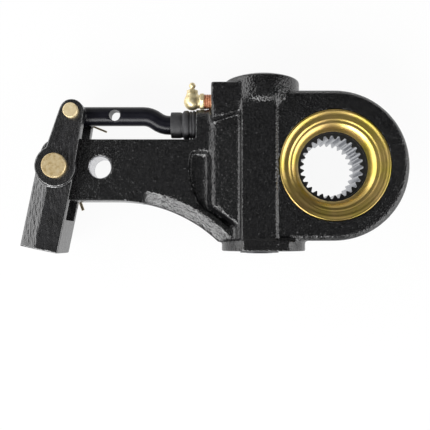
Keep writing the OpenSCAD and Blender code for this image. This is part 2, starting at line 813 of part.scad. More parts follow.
module grease_nipple() {
    hex_y = elbow_top + run_gap;
    color([0.85, 0.74, 0.42]) {
        along_y(elbow_x, elbow_top - nipple_thread_l, elbow_top + join, nipple_thread_r);
        translate([elbow_x, hex_y, 0]) rotate([-90, 0, 0])
            cylinder(r = nipple_hex_r, h = nipple_hex_t, $fn = 6);
        turned_y(elbow_x) polygon([
            [0, hex_y + nipple_hex_t - join], [nipple_thread_r, hex_y + nipple_hex_t - join],
            [nipple_neck_r, nipple_neck_y - join], [nipple_neck_r, nipple_neck_y],
            [nipple_ball_r, nipple_ball_y], [nipple_ball_r, nipple_ball_y + join],
            [nipple_tip_r, nipple_top], [0, nipple_top]]);
    }
}

// clevis frame: large pin at the origin, shank along minus Y
module at_clevis() {
    translate([-arm_length, 0, 0]) rotate(-clevis_lean) children();
}

module ear_shape() {
    circle(large_boss_r);
    translate([small_u, small_v]) circle(ear_r);
    polygon([[small_u - ear_r, small_v + ear_rise], [-ear_foot, 0], [clevis_w / 2, 0],
             [small_u + ear_r, small_v]]);
}

// section of the shank, with a ridge along both faces
module shank_section() {
    ridge_z = half_clevis - shank_step;
    polygon([[-clevis_w / 2, ridge_z - left_drop], [ridge_u, ridge_z], [clevis_w / 2, ridge_z - right_drop],
             [clevis_w / 2, right_drop - ridge_z], [ridge_u, -ridge_z], [-clevis_w / 2, left_drop - ridge_z]]);
}

module clevis() {
    slot_reach = slot_depth + small_v + 2 * ear_r;
    color([0.14, 0.14, 0.15]) at_clevis() difference() {
        union() {
            slab(clevis_depth) ear_shape();
            rotate([90, 0, 0]) linear_extrude(shank_length) shank_section();
        }
        translate([-2 * clevis_w, -slot_depth, -slot_w / 2]) cube([4 * clevis_w, slot_reach, slot_w]);
        translate([0, 0, -clevis_depth]) cylinder(r = pin_hole_r, h = 2 * clevis_depth);
        translate([small_u, small_v, -clevis_depth]) cylinder(r = small_hole_r, h = 2 * clevis_depth);
        translate([0, -shank_length - pass, 0]) rotate([-90, 0, 0])
            cylinder(r = push_rod_d / 2, h = shank_length);
    }
}

// headed pin with a cross hole for its cotter
module headed_pin(r, head_r, hole_r, angle) {
    edge = 0.5;
    tail_z = -half_clevis - pin_tail;
    difference() {
        rotate_extrude() polygon([
            [0, tail_z], [r - edge, tail_z], [r, tail_z + edge],
            [r, half_clevis + head_gap], [head_r, half_clevis + head_gap],
            [head_r, half_clevis + pin_head_h - edge], [head_r - edge, half_clevis + pin_head_h],
            [0, half_clevis + pin_head_h]]);
        translate([0, 0, cotter_z]) rotate([0, 90, angle]) cylinder(r = hole_r, h = 4 * r, center = true);
    }
}

module large_clevis_pin() {
    color([0.85, 0.72, 0.42]) translate([-arm_length, 0, 0])
        headed_pin(large_pin_d / 2, large_head_r, large_cotter_r + cotter_gap, large_cotter_angle);
}

module small_clevis_pin() {
    color([0.85, 0.72, 0.42]) translate([link_x, link_y, 0])
        headed_pin(small_pin_d / 2, small_head_r, small_cotter_r + cotter_gap, small_cotter_angle);
}

// cotter with a round eye on one side of its pin
module cotter(r, tail, pin_r, angle) {
    eye_r = cotter_eye * r;
    reach = pin_r + r;
    translate([0, 0, cotter_z]) rotate(angle) {
        translate([-reach, 0, 0]) rotate([0, 90, 0]) cylinder(r = r, h = reach + tail, $fn = 24);
        translate([-reach - eye_r, 0, 0]) rotate_extrude($fn = 32) translate([eye_r, 0])
            circle(cotter_wire * r, $fn = 16);
    }
}

module large_cotter() {
    color([0.6, 0.6, 0.6]) translate([-arm_length, 0, 0])
        cotter(large_cotter_r, large_cotter_tail, large_pin_d / 2, large_cotter_angle);
}

module small_cotter() {
    color([0.6, 0.6, 0.6]) translate([link_x, link_y, 0])
        cotter(small_cotter_r, small_cotter_tail, small_pin_d / 2, small_cotter_angle);
}

housing();
worm_wheel();
front_seal_ring();
wheel_retainer();
front_lip_seal();
rear_lip_seal();
worm_shaft();
lower_thrust_washer();
upper_thrust_washer();
bottom_cap();
cap_seal();
cap_snap_ring();
clutch_pinion();
clutch_spring();
clutch_hub();
rack();
rack_pin();
link_rod();
boot();
boot_clamp();
grease_elbow();
grease_nipple();
clevis();
large_clevis_pin();
small_clevis_pin();
large_cotter();
small_cotter();
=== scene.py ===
import math
import bmesh
import bpy
import numpy as np
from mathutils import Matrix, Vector


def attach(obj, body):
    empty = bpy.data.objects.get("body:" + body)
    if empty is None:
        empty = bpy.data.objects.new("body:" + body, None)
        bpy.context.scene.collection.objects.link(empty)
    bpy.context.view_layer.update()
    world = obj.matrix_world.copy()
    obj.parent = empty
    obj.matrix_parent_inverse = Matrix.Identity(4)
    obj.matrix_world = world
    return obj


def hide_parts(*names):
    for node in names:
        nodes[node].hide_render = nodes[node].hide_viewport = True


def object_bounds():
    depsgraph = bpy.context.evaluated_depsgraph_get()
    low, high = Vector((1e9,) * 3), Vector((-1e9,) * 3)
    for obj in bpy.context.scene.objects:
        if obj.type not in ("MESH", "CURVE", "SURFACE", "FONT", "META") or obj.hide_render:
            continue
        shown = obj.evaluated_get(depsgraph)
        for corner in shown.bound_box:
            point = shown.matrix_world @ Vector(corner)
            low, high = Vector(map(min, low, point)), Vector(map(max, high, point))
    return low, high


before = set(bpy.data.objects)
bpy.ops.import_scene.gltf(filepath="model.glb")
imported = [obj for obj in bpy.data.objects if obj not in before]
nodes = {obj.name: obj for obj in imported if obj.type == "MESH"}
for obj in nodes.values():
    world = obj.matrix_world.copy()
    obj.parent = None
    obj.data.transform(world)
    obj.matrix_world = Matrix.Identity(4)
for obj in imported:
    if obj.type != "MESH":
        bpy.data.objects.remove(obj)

cadLow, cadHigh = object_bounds()
mm = 0.001
# axes that several pieces share, in millimetres from the spline's centre
axes = {"wormX": -43.0, "rackY": 27.0, "elbowY": 41.5, "armHoleX": -139.7,
        "largePinX": -165.1, "smallPinX": -155.3, "smallPinY": 32.4}
print("frame loaded:", len(nodes), "nodes")


# materials: small helpers
def newMaterial(name):
    material = bpy.data.materials.new(name)
    material.use_nodes = True
    tree = material.node_tree
    tree.nodes.clear()
    output = tree.nodes.new("ShaderNodeOutputMaterial")
    shader = tree.nodes.new("ShaderNodeBsdfPrincipled")
    tree.links.new(shader.outputs["BSDF"], output.inputs["Surface"])
    return material, tree, shader


def addNode(tree, kind, values=None, **settings):
    # a value that is a socket is linked, any other is set
    node = tree.nodes.new(kind)
    for key, value in settings.items():
        setattr(node, key, value)
    for key, value in (values or {}).items():
        if isinstance(value, bpy.types.NodeSocket):
            tree.links.new(value, node.inputs[key])
        else:
            node.inputs[key].default_value = value
    return node


def calculate(tree, operation, *values):
    node = addNode(tree, "ShaderNodeMath", dict(enumerate(values)), operation=operation)
    return node.outputs[0]


def newGroup(name, inputs, outputs):
    group = bpy.data.node_groups.new(name, "ShaderNodeTree")
    for label, kind, value in inputs:
        socket = group.interface.new_socket(label, in_out="INPUT", socket_type=kind)
        if value is not None:
            socket.default_value = value
    for label in outputs:
        group.interface.new_socket(label, in_out="OUTPUT", socket_type="NodeSocketFloat")
    return group, group.nodes.new("NodeGroupInput"), group.nodes.new("NodeGroupOutput")


def ramp(tree, factor, stops):
    # colour ramp with (position, colour) stops
    node = addNode(tree, "ShaderNodeValToRGB", {"Fac": factor})
    elements = node.color_ramp.elements
    while len(elements) < len(stops):
        elements.new(0.5)
    for element, (position, colour) in zip(elements, stops):
        element.position = position
        element.color = (*colour, 1.0)
    return node.outputs["Color"]


def spread(tree, factor, low, high, fromLow=0.0, fromHigh=1.0):
    # remaps a mask to a range
    node = addNode(tree, "ShaderNodeMapRange", {"Value": factor, "From Min": fromLow, "From Max": fromHigh,
                                                "To Min": low, "To Max": high})
    return node.outputs["Result"]


# surface grain: two noises and a cell pattern give height and patches, scattered cells give raised pips
grainMix = {"coarse": 0.45, "fine": 0.35, "cells": 0.35, "specks": (0.58, 0.72),
            "pipFoot": 0.4, "pipTop": 0.08}


def makeGrainGroup():
    group, given, result = newGroup(
        "surfaceGrain",
        [("Vector", "NodeSocketVector", None), ("Coarse", "NodeSocketFloat", 300.0),
         ("Fine", "NodeSocketFloat", 1200.0), ("Cells", "NodeSocketFloat", 700.0),
         ("Pip Share", "NodeSocketFloat", 0.0)],
        ["Height", "Patches", "Specks", "Pips"])
    spot = given.outputs["Vector"]
    coarse = addNode(group, "ShaderNodeTexNoise", {
        "Vector": spot, "Scale": given.outputs["Coarse"], "Detail": 3.0, "Roughness": 0.55})
    fine = addNode(group, "ShaderNodeTexNoise", {
        "Vector": spot, "Scale": given.outputs["Fine"], "Detail": 2.0, "Roughness": 0.6})
    cells = addNode(group, "ShaderNodeTexVoronoi", {
        "Vector": spot, "Scale": given.outputs["Cells"]}, feature="F1")
    height = calculate(group, "MULTIPLY", coarse.outputs["Fac"], grainMix["coarse"])
    height = calculate(group, "MULTIPLY_ADD", fine.outputs["Fac"], grainMix["fine"], height)
    height = calculate(group, "MULTIPLY_ADD", cells.outputs["Distance"], grainMix["cells"], height)
    lot = addNode(group, "ShaderNodeSeparateColor", {"Color": cells.outputs["Color"]})
    chosen = calculate(group, "LESS_THAN", lot.outputs["Red"], given.outputs["Pip Share"])
    dome = addNode(group, "ShaderNodeMapRange", {
        "Value": cells.outputs["Distance"], "From Min": grainMix["pipFoot"], "From Max": grainMix["pipTop"]},
        interpolation_type="SMOOTHSTEP")
    pips = calculate(group, "MULTIPLY", chosen, dome.outputs["Result"])
    specks = spread(group, fine.outputs["Fac"], 0.0, 1.0, *grainMix["specks"])
    group.links.new(height, result.inputs["Height"])
    group.links.new(coarse.outputs["Fac"], result.inputs["Patches"])
    group.links.new(specks, result.inputs["Specks"])
    group.links.new(pips, result.inputs["Pips"])
    return group


grainGroup = makeGrainGroup()


def addGrain(tree, look):
    place = addNode(tree, "ShaderNodeTexCoord")
    mapping = addNode(tree, "ShaderNodeMapping", {
        "Vector": place.outputs["Object"], "Scale": look.get("stretch", (1.0, 1.0, 1.0))})
    grain = addNode(tree, "ShaderNodeGroup", node_tree=grainGroup)
    tree.links.new(mapping.outputs["Vector"], grain.inputs["Vector"])
    for label, key in (("Coarse", "coarse"), ("Fine", "fine"), ("Cells", "cells")):
        grain.inputs[label].default_value = look[key]
    grain.inputs["Pip Share"].default_value = look.get("pipShare", 0.0)
    return grain


def addBump(tree, shader, height, distance):
    # a further bump builds on the one before it
    bump = addNode(tree, "ShaderNodeBump", {"Height": height, "Distance": distance})
    if shader.inputs["Normal"].is_linked:
        tree.links.new(shader.inputs["Normal"].links[0].from_socket, bump.inputs["Normal"])
    tree.links.new(bump.outputs["Normal"], shader.inputs["Normal"])


# one finish: colours from patches, roughness from specks, relief from height and pips
def makeFinish(name, look):
    material, tree, shader = newMaterial(name)
    grain = addGrain(tree, look)
    tree.links.new(ramp(tree, grain.outputs["Patches"], look["colours"]), shader.inputs["Base Color"])
    tree.links.new(spread(tree, grain.outputs["Specks"], *look["roughness"]), shader.inputs["Roughness"])
    addBump(tree, shader, grain.outputs["Height"], look["relief"])
    if "pipShare" in look:
        addBump(tree, shader, grain.outputs["Pips"], look["pipRise"])
    shader.inputs["Metallic"].default_value = look.get("metallic", 0.0)
    shader.inputs["Specular IOR Level"].default_value = look.get("specular", 0.5)
    shader.inputs["IOR"].default_value = look.get("ior", 1.5)
    return material


# a zone of another colour and metal, laid over a finish by a mask
def addZone(material, mask, look):
    tree = material.node_tree
    shader = tree.nodes["Principled BSDF"]
    under = shader.inputs["Base Color"].links[0].from_socket
    mixed = addNode(tree, "ShaderNodeMix", {0: mask, 6: under, 7: (*look["colour"], 1.0)}, data_type="RGBA")
    tree.links.new(mixed.outputs[2], shader.inputs["Base Color"])
    metal = spread(tree, mask, shader.inputs["Metallic"].default_value, look["metallic"])
    tree.links.new(metal, shader.inputs["Metallic"])


def boreMask(material, look):
    # 1 inside an upright bore, 0 beyond it
    tree = material.node_tree
    place = addNode(tree, "ShaderNodeTexCoord")
    flat = addNode(tree, "ShaderNodeVectorMath", {
        0: place.outputs["Object"], 1: (1.0, 1.0, 0.0)}, operation="MULTIPLY")
    away = addNode(tree, "ShaderNodeVectorMath", {
        0: flat.outputs["Vector"], 1: look["centre"]}, operation="DISTANCE")
    return spread(tree, away.outputs["Value"], 1.0, 0.0, look["radius"], look["radius"] + look["fade"])


def aboveMask(material, look):
    # 1 above a level, 0 below it
    tree = material.node_tree
    place = addNode(tree, "ShaderNodeTexCoord")
    parts = addNode(tree, "ShaderNodeSeparateXYZ", {"Vector": place.outputs["Object"]})
    return spread(tree, parts.outputs["Z"], 0.0, 1.0, look["level"] - look["fade"], look["level"])


# finishes: grain in cells for each metre, relief in metres
castPaint = makeFinish("castPaint", {
    "coarse": 300.0, "fine": 1050.0, "cells": 800.0, "relief": 0.0006, "pipShare": 0.2, "pipRise": 0.00017,
    "roughness": (0.22, 0.13), "specular": 0.85,
    "colours": [(0.3, (0.0028, 0.0028, 0.003)), (0.7, (0.0072, 0.0072, 0.0078))]})
bareHole = {"centre": (axes["armHoleX"] * mm, 0.0, 0.0), "radius": 0.0067, "fade": 0.0002,
            "colour": (0.66, 0.66, 0.68), "metallic": 0.9}
addZone(castPaint, boreMask(castPaint, bareHole), bareHole)
forgedBlack = makeFinish("forgedBlack", {
    "coarse": 260.0, "fine": 1200.0, "cells": 700.0, "relief": 0.0003, "stretch": (1.0, 0.4, 1.0),
    "roughness": (0.26, 0.16), "specular": 0.75, "ior": 1.8,
    "colours": [(0.35, (0.0034, 0.0034, 0.0037)), (0.65, (0.0136, 0.0136, 0.015))]})
zincGold = makeFinish("zincGold", {
    "coarse": 70.0, "fine": 2200.0, "cells": 1500.0, "relief": 0.000004,
    "roughness": (0.32, 0.42), "metallic": 1.0,
    "colours": [(0.3, (0.62, 0.51, 0.08)), (0.5, (0.76, 0.56, 0.17)), (0.68, (0.86, 0.6, 0.23))]})
pinGrain = {"coarse": 500.0, "fine": 2600.0, "cells": 1200.0, "relief": 0.00002}
pinGold = makeFinish("pinGold", {
    **pinGrain, "roughness": (0.46, 0.56), "metallic": 0.75,
    "colours": [(0.3, (0.56, 0.41, 0.19)), (0.48, (0.74, 0.58, 0.32)), (0.7, (0.82, 0.68, 0.42))]})
pinBright = makeFinish("pinBright", {
    **pinGrain, "roughness": (0.5, 0.6), "metallic": 0.7,
    "colours": [(0.3, (0.84, 0.68, 0.39)), (0.55, (0.9, 0.75, 0.46)), (0.75, (0.95, 0.82, 0.55))]})
steelGrain = {"coarse": 500.0, "fine": 2400.0, "cells": 1500.0, "relief": 0.00004,
              "roughness": (0.34, 0.5), "metallic": 1.0}
wheelSteel = makeFinish("wheelSteel", {
    **steelGrain, "colours": [(0.3, (0.34, 0.35, 0.37)), (0.7, (0.52, 0.53, 0.56))]})
# painted shade: the wheel's neck above this level is painted near black for the shadow under the seal ring
neckPaintedShade = {"level": 0.0083, "fade": 0.0002, "colour": (0.02, 0.02, 0.02), "metallic": 0.1}
addZone(wheelSteel, aboveMask(wheelSteel, neckPaintedShade), neckPaintedShade)
gearSteel = makeFinish("gearSteel", {
    **steelGrain, "colours": [(0.3, (0.32, 0.33, 0.35)), (0.7, (0.52, 0.53, 0.56))]})
springSteel = makeFinish("springSteel", {
    **steelGrain, "colours": [(0.3, (0.11, 0.11, 0.12)), (0.7, (0.22, 0.22, 0.23))]})
bearingBronze = makeFinish("bearingBronze", {
    "coarse": 400.0, "fine": 2000.0, "cells": 1200.0, "relief": 0.00004,
    "roughness": (0.34, 0.46), "metallic": 1.0,
    "colours": [(0.3, (0.45, 0.27, 0.1)), (0.7, (0.62, 0.42, 0.2))]})
bootRubber = makeFinish("bootRubber", {
    "coarse": 300.0, "fine": 2600.0, "cells": 1400.0, "relief": 0.00008,
    "roughness": (0.62, 0.5), "specular": 0.65,
    "colours": [(0.3, (0.022, 0.022, 0.024)), (0.7, (0.042, 0.042, 0.045))]})
capOxide = makeFinish("capOxide", {
    "coarse": 420.0, "fine": 1800.0, "cells": 900.0, "relief": 0.00008,
    "roughness": (0.45, 0.3), "specular": 0.8,
    "colours": [(0.3, (0.024, 0.024, 0.027)), (0.7, (0.07, 0.07, 0.078))]})
rodGloss = makeFinish("rodGloss", {
    "coarse": 220.0, "fine": 1200.0, "cells": 700.0, "relief": 0.00001,
    "roughness": (0.28, 0.36), "specular": 0.26,
    "colours": [(0.3, (0.005, 0.005, 0.008)), (0.7, (0.011, 0.011, 0.016))]})
fittingBrass = makeFinish("fittingBrass", {
    "coarse": 500.0, "fine": 2600.0, "cells": 1300.0, "relief": 0.00002,
    "roughness": (0.44, 0.54), "metallic": 0.85,
    "colours": [(0.3, (0.85, 0.69, 0.37)), (0.6, (0.92, 0.79, 0.49)), (0.8, (0.96, 0.88, 0.65))]})
cotterSteel = makeFinish("cotterSteel", {
    "coarse": 600.0, "fine": 2400.0, "cells": 1500.0, "relief": 0.00003,
    "roughness": (0.4, 0.55), "metallic": 1.0,
    "colours": [(0.3, (0.3, 0.25, 0.17)), (0.7, (0.6, 0.52, 0.38))]})
threadSealant = makeFinish("threadSealant", {
    "coarse": 900.0, "fine": 3000.0, "cells": 2000.0, "relief": 0.0001, "roughness": (0.5, 0.38),
    "colours": [(0.35, (0.42, 0.13, 0.05)), (0.65, (0.74, 0.32, 0.16))]})

nodeFinish = {
    "housing": castPaint, "front_seal_ring": zincGold, "large_clevis_pin": pinGold,
    "small_clevis_pin": pinBright, "worm_wheel": wheelSteel, "worm_shaft": gearSteel,
    "clutch_pinion": gearSteel, "clutch_hub": gearSteel, "rack": gearSteel, "rack_pin": gearSteel,
    "wheel_retainer": gearSteel, "clutch_spring": springSteel, "cap_snap_ring": springSteel,
    "boot_clamp": bootRubber, "lower_thrust_washer": bearingBronze, "upper_thrust_washer": bearingBronze,
    "boot": bootRubber, "front_lip_seal": bootRubber, "rear_lip_seal": bootRubber, "cap_seal": bootRubber,
    "bottom_cap": capOxide, "link_rod": rodGloss, "grease_elbow": fittingBrass,
    "grease_nipple": fittingBrass, "clevis": forgedBlack, "large_cotter": cotterSteel,
    "small_cotter": cotterSteel}
for nodeName, finish in nodeFinish.items():
    slots = nodes[nodeName].data.materials
    slots.clear()
    slots.append(finish)
print("finishes made:", len(bpy.data.materials))


# shapes: small helpers
mergeReach = 2e-6  # how close two points count as one, in metres
pushPull = (0.6, -0.35)  # shares of one smoothing round, out and back


def joinedCopy(nodeName, pieceName):
    # a CAD node's triangles joined into one skin, without the normals stored in the file
    mesh = nodes[nodeName].data.copy()
    mesh.name = pieceName
    stored = mesh.attributes.get("custom_normal")
    if stored:
        mesh.attributes.remove(stored)
    work = bmesh.new()
    work.from_mesh(mesh)
    bmesh.ops.remove_doubles(work, verts=work.verts, dist=mergeReach)
    work.to_mesh(mesh)
    work.free()
    mesh.materials.clear()
    return mesh


def placePiece(mesh, finish, body, standsFor, angle):
    # a mesh made a piece: edges past the angle stay sharp
    mesh.materials.append(finish)
    mesh.shade_smooth()
    mesh.set_sharp_from_angle(angle=math.radians(angle))
    piece = bpy.data.objects.new(mesh.name, mesh)
    bpy.context.collection.objects.link(piece)
    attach(piece, body)
    if standsFor:
        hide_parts(*standsFor)
    return piece


def readPoints(mesh):
    points = np.empty(len(mesh.vertices) * 3, np.float32)
    mesh.vertices.foreach_get("co", points)
    return points.reshape(-1, 3).astype(float)


def writePoints(mesh, points):
    mesh.vertices.foreach_set("co", points.reshape(-1).astype(np.float32))
    mesh.update()


def gridMesh(name, points):
    # quads over a grid of points, rows by columns, closed both ways
    rows, columns = points.shape[:2]
    a, b = np.meshgrid(np.arange(rows), np.arange(columns), indexing="ij")
    c, d = (a + 1) % rows, (b + 1) % columns
    corners = [a * columns + b, c * columns + b, c * columns + d, a * columns + d]
    quads = np.stack(corners, -1).reshape(-1, 4)
    mesh = bpy.data.meshes.new(name)
    mesh.vertices.add(rows * columns)
    mesh.vertices.foreach_set("co", points.reshape(-1).astype(np.float32))
    mesh.loops.add(quads.size)
    mesh.loops.foreach_set("vertex_index", quads.reshape(-1).astype(np.int32))
    mesh.polygons.add(len(quads))
    mesh.polygons.foreach_set("loop_start", np.arange(len(quads), dtype=np.int32) * 4)
    mesh.update(calc_edges=True)
    work = bmesh.new()
    work.from_mesh(mesh)
    bmesh.ops.recalc_face_normals(work, faces=work.faces)
    work.to_mesh(mesh)
    work.free()
    return mesh


def cutCorners(profile, rounds):
    # closed profile with its corners cut at a quarter of each side, several rounds over
    for _ in range(rounds):
        after = np.roll(profile, -1, axis=0)
        cuts = [0.75 * profile + 0.25 * after, 0.25 * profile + 0.75 * after]
        profile = np.stack(cuts, 1).reshape(-1, 2)
    return profile


def turnedMesh(name, profile, centre, axis, count):
    # P(k, v) = centre + r(k) (cos v, sin v) across the axis + h(k) along it, all in millimetres
    v = np.linspace(0.0, 2.0 * np.pi, count, endpoint=False)
    r, h = profile[:, 0, None] * mm, profile[:, 1, None] * mm
    one, two, along = r * np.cos(v), r * np.sin(v), h + 0.0 * v
    order = {"Z": (one, two, along), "X": (along, one, two), "Y": (two, along, one)}[axis]
    return gridMesh(name, np.stack(order, -1) + np.array(centre) * mm)


def between(values, span):
    return (values > span[0]) & (values < span[1])


def evenSkin(nodeName, look, crisp=None, soft=None, ease=None):
    # even quads drawn onto a node's surface, then smoothed: p += w (mean of the neighbours - p)
    # for each w of pushPull; crisp points stay, soft ones get more rounds, ease moves points at the end
    source, target = [bpy.data.objects.new(name, joinedCopy(nodeName, name))
                      for name in ("skinSource", "skinTarget")]
    bpy.context.collection.objects.link(source)
    bpy.context.collection.objects.link(target)
    skinner = source.modifiers.new("skin", "REMESH")
    skinner.mode = "VOXEL"
    skinner.voxel_size = look["voxel"]
    drawn = source.modifiers.new("drawn", "SHRINKWRAP")
    drawn.target = target
    drawn.wrap_method = "NEAREST_SURFACEPOINT"
    shown = source.evaluated_get(bpy.context.evaluated_depsgraph_get())
    mesh = bpy.data.meshes.new_from_object(shown)
    mesh.name = look["name"]
    bpy.data.objects.remove(source)
    bpy.data.objects.remove(target)
    points = readPoints(mesh)
    count = len(points)
    edges = np.empty(len(mesh.edges) * 2, np.int32)
    mesh.edges.foreach_get("vertices", edges)
    one, two = edges.reshape(-1, 2).T
    degree = np.bincount(edges, minlength=count)[:, None]
    loose = np.ones((count, 1))
    if crisp:
        loose[crisp(points / mm)] = 0.0
    softer = loose * soft(points / mm)[:, None] if soft else loose
    for share in [loose] * look["rounds"] + [softer] * look.get("softRounds", 0):
        for weight in pushPull:
            around = [np.bincount(one, points[two, k], count) + np.bincount(two, points[one, k], count)
                      for k in range(3)]
            points += weight * share * (np.stack(around, -1) / degree - points)
    if ease:
        points += ease(points / mm) * mm
    writePoints(mesh, points)
    print(look["name"], "faces:", len(mesh.polygons))
    return mesh


# housing: an even cast skin, crisp only where it is machined
castLook = {
    "name": "castHousing", "voxel": 0.00088, "rounds": 4, "softRounds": 30, "angle": 50.0,
    "boreRadius": 33.6, "holeRadius": 8.3, "wormRadius": 17.2, "wormTop": 50.2,
    "guideRadius": 8.6, "guideX": (-83.0, -12.0), "portRadius": 4.6, "portX": -60.0,
    "rackRoomX": (-66.0, -12.0), "rackRoomY": (18.4, 35.6), "rackRoomZ": (-14.0, 8.6),
    "armEdgeX": -112.0, "armEdgeY": -15.0,
    "flankX": (-81.0, -66.0), "flankY": (-37.0, 37.0), "flankZ": 0.0,
    "padEndX": (-58.0, -32.0), "padEndY": (34.5, 42.5), "padEndZ": 10.0,
    "guideEndX": -54.0, "guideEndDepth": 1.3, "guideEndReach": 8.4, "guideEndRadius": 7.2,
    "guideEndBack": 0.9, "guideEndWider": 0.7}


def housingCrisp(p):
    # bores, the rack's room and the arm's lower edge
    x, y, z = p.T
    bore = np.hypot(x, y) < castLook["boreRadius"]
    hole = np.hypot(x - axes["largePinX"], y) < castLook["holeRadius"]
    worm = (np.hypot(x - axes["wormX"], z) < castLook["wormRadius"]) & (y < castLook["wormTop"])
    guide = (np.hypot(y - axes["rackY"], z) < castLook["guideRadius"]) & between(x, castLook["guideX"])
    port = (np.hypot(y - axes["elbowY"], z) < castLook["portRadius"]) & (x < castLook["portX"])
    rackRoom = between(x, castLook["rackRoomX"]) & between(y, castLook["rackRoomY"])
    rackRoom &= between(z, castLook["rackRoomZ"])
    armEdge = (x < castLook["armEdgeX"]) & (y < castLook["armEdgeY"])
    return bore | hole | worm | guide | port | rackRoom | armEdge


def housingSoft(p):
    # the flank beside the barrel and the upper end of its pad run out softly
    x, y, z = p.T
    flank = between(x, castLook["flankX"]) & between(y, castLook["flankY"]) & (z > castLook["flankZ"])
    padEnd = between(x, castLook["padEndX"]) & between(y, castLook["padEndY"]) & (z > castLook["padEndZ"])
    return flank | padEnd


def housingEase(p):
    # the guide's end wall steps back from the rack: dx = back g and dr = wider g (r / radius)^4,
    # where g = exp(-((x - end) / depth)^2)
    x, y, z = p.T
    across = y - axes["rackY"]
    r = np.hypot(across, z)
    fall = np.exp(-((x - castLook["guideEndX"]) / castLook["guideEndDepth"]) ** 2)
    near = np.where(r < castLook["guideEndReach"], fall, 0.0)
    outward = near * (r / castLook["guideEndRadius"]) ** 4 / np.maximum(r, 0.1)  # 0.1 keeps the axis finite
    wider = castLook["guideEndWider"] * outward
    return np.stack([castLook["guideEndBack"] * near, wider * across, wider * z], -1)


castMesh = evenSkin("housing", castLook, housingCrisp, housingSoft, housingEase)
placePiece(castMesh, castPaint, "housing", ["housing"], castLook["angle"])


# clevis: forged skin, crisp at the pin holes and inside the fork
forgeLook = {"name": "forgedClevis", "voxel": 0.00055, "rounds": 6, "angle": 50.0,
             "largeHole": 7.4, "smallHole": 4.2, "forkHalf": 10.2}


def clevisCrisp(p):
    x, y, z = p.T
    large = np.hypot(x - axes["largePinX"], y) < forgeLook["largeHole"]
    small = np.hypot(x - axes["smallPinX"], y - axes["smallPinY"]) < forgeLook["smallHole"]
    return large | small | (np.abs(z) < forgeLook["forkHalf"])


forgeMesh = evenSkin("clevis", forgeLook, clevisCrisp)
placePiece(forgeMesh, forgedBlack, "clevis", ["clevis"], forgeLook["angle"])


# rod: fine even skin, crisp at its eye and where it runs in the boot
rodLook = {"name": "bentRod", "voxel": 0.0005, "rounds": 5, "angle": 60.0, "eye": 4.0, "bootX": -84.0}


def rodCrisp(p):
    x, y, z = p.T
    eye = np.hypot(x - axes["smallPinX"], y - axes["smallPinY"]) < rodLook["eye"]
    return eye | (x > rodLook["bootX"])


rodMesh = evenSkin("link_rod", rodLook, rodCrisp)
placePiece(rodMesh, rodGloss, "link", ["link_rod"], rodLook["angle"])


# elbow with a ball at its bend, and its nipple
elbowLook = {"name": "elbowBody", "voxel": 0.00028, "rounds": 16, "angle": 60.0}
elbowMesh = evenSkin("grease_elbow", elbowLook)
placePiece(elbowMesh, fittingBrass, "housing", ["grease_elbow"], elbowLook["angle"])
ballLook = {"name": "elbowBall", "radius": 5.2, "x": -84.4, "pole": 89.0, "rows": 33, "columns": 64,
            "angle": 60.0}
ballTurn = np.radians(np.linspace(-ballLook["pole"], ballLook["pole"], ballLook["rows"]))
ballProfile = ballLook["radius"] * np.stack([np.cos(ballTurn), np.sin(ballTurn)], -1)
ballMesh = turnedMesh(ballLook["name"], ballProfile, (ballLook["x"], axes["elbowY"], 0.0), "Y",
                      ballLook["columns"])
placePiece(ballMesh, fittingBrass, "housing", [], ballLook["angle"])
nippleLook = {"name": "nippleTip", "voxel": 0.0002, "rounds": 3, "angle": 60.0}
nippleMesh = evenSkin("grease_nipple", nippleLook)
placePiece(nippleMesh, fittingBrass, "housing", ["grease_nipple"], nippleLook["angle"])


# stamped ring: rim, flat band, step, shelf and rolled inner edge, turned about the spline
ringLook = {
    "name": "stampedRing", "outer": 32.85, "inner": 20.8, "foot": 11.7, "sheet": 1.4, "rounds": 2,
    "columns": 144, "angle": 60.0, "face": [
        [32.85, 15.0], [32.85, 18.4], [32.5, 19.2], [31.9, 19.35], [31.2, 19.0], [30.4, 18.55],
        [29.4, 18.2], [28.4, 18.1], [27.5, 18.05], [26.9, 17.75], [26.3, 17.4], [25.6, 17.25],
        [24.8, 17.0], [24.0, 16.4], [23.1, 15.6], [22.3, 14.6], [21.6, 13.5], [21.0, 12.5]]}
ringFace = np.array([[ringLook["outer"], ringLook["foot"]], *ringLook["face"],
                     [ringLook["inner"], ringLook["foot"]]])
backRadius = np.clip(ringFace[:, 0], ringLook["inner"] + ringLook["sheet"],
                     ringLook["outer"] - ringLook["sheet"])
backHeight = np.maximum(ringFace[:, 1] - ringLook["sheet"], ringLook["foot"])
ringBack = np.stack([backRadius, backHeight], -1)[::-1]
ringProfile = cutCorners(np.concatenate([ringFace, ringBack]), ringLook["rounds"])
ringMesh = turnedMesh(ringLook["name"], ringProfile, (0.0, 0.0, 0.0), "Z", ringLook["columns"])
placePiece(ringMesh, zincGold, "housing", ["front_seal_ring"], ringLook["angle"])


# rubber boot with its cuff, rib and lip, turned about the rack's axis
bootLook = {"name": "ribbedBoot", "rounds": 2, "columns": 96, "angle": 60.0, "profile": [
    [7.0, -97.4], [7.7, -97.4], [7.9, -96.9], [7.9, -94.0], [7.9, -91.3], [7.5, -90.8], [7.5, -90.1],
    [8.4, -89.7], [8.9, -88.8], [8.9, -86.5], [7.6, -86.0], [7.6, -84.4], [8.6, -84.0], [8.9, -83.4],
    [8.6, -82.6], [8.2, -82.3], [8.2, -79.1], [7.0, -79.1]]}
bootProfile = cutCorners(np.array(bootLook["profile"]), bootLook["rounds"])
bootMesh = turnedMesh(bootLook["name"], bootProfile, (0.0, axes["rackY"], 0.0), "X", bootLook["columns"])
placePiece(bootMesh, bootRubber, "housing", ["boot"], bootLook["angle"])


# wheel: a joined copy with the spline's teeth drawn to points
wheelLook = {"name": "splinedWheel", "teeth": 28, "tipBelow": 18.0, "rootBelow": 19.3,
             "tipShare": 0.4, "rootShare": 0.5, "angle": 35.0}


